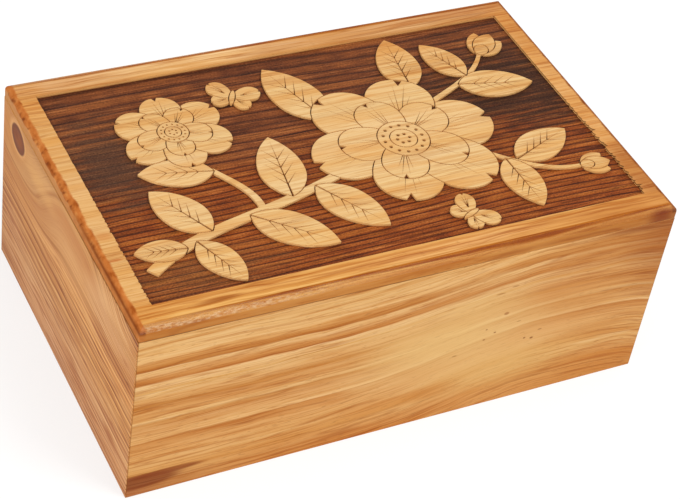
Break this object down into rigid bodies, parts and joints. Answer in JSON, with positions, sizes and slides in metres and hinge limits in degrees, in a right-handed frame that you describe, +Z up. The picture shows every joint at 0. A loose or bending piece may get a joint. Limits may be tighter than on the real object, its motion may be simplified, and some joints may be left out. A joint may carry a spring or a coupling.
{
  "type": "wooden cremation urn",
  "caption": "Rectangular pine ash box with mitred walls, a carved floral top board and a screwed base panel.",
  "frame": {"origin": "centre of the foot, on the surface that the urn stands on", "axes": "+X along the length, +Z up, the front face towards -Y"},
  "size_m": [0.292, 0.189, 0.113],
  "materials": {
    "stained_pine": "satin varnish",
    "unfinished_pine": "bare",
    "base_pine": "satin",
    "screw_brass": "bright"
  },
  "bodies": {
    "box": {"top_board": "stained_pine", "front_wall": "stained_pine", "back_wall": "stained_pine", "left_wall": "stained_pine", "right_wall": "stained_pine", "corner_block_front_left": "unfinished_pine", "corner_block_front_right": "unfinished_pine", "corner_block_back_left": "unfinished_pine", "corner_block_back_right": "unfinished_pine"},
    "base": {"base_panel": "base_pine"},
    "screw_front_left": {"base_screw_front_left": "screw_brass"},
    "screw_front_right": {"base_screw_front_right": "screw_brass"},
    "screw_back_left": {"base_screw_back_left": "screw_brass"},
    "screw_back_right": {"base_screw_back_right": "screw_brass"}
  },
  "joints": [
    {"name": "base_lift_off", "type": "slide", "parent": "box", "child": "base", "axis": [0, 0, -1], "range_m": [0, 0.12]},
    {"name": "screw_front_left_out", "type": "slide", "parent": "base", "child": "screw_front_left", "axis": [0, 0, -1], "range_m": [0, 0.025]},
    {"name": "screw_front_right_out", "type": "slide", "parent": "base", "child": "screw_front_right", "axis": [0, 0, -1], "range_m": [0, 0.025]},
    {"name": "screw_back_left_out", "type": "slide", "parent": "base", "child": "screw_back_left", "axis": [0, 0, -1], "range_m": [0, 0.025]},
    {"name": "screw_back_right_out", "type": "slide", "parent": "base", "child": "screw_back_right", "axis": [0, 0, -1], "range_m": [0, 0.025]}
  ]
}
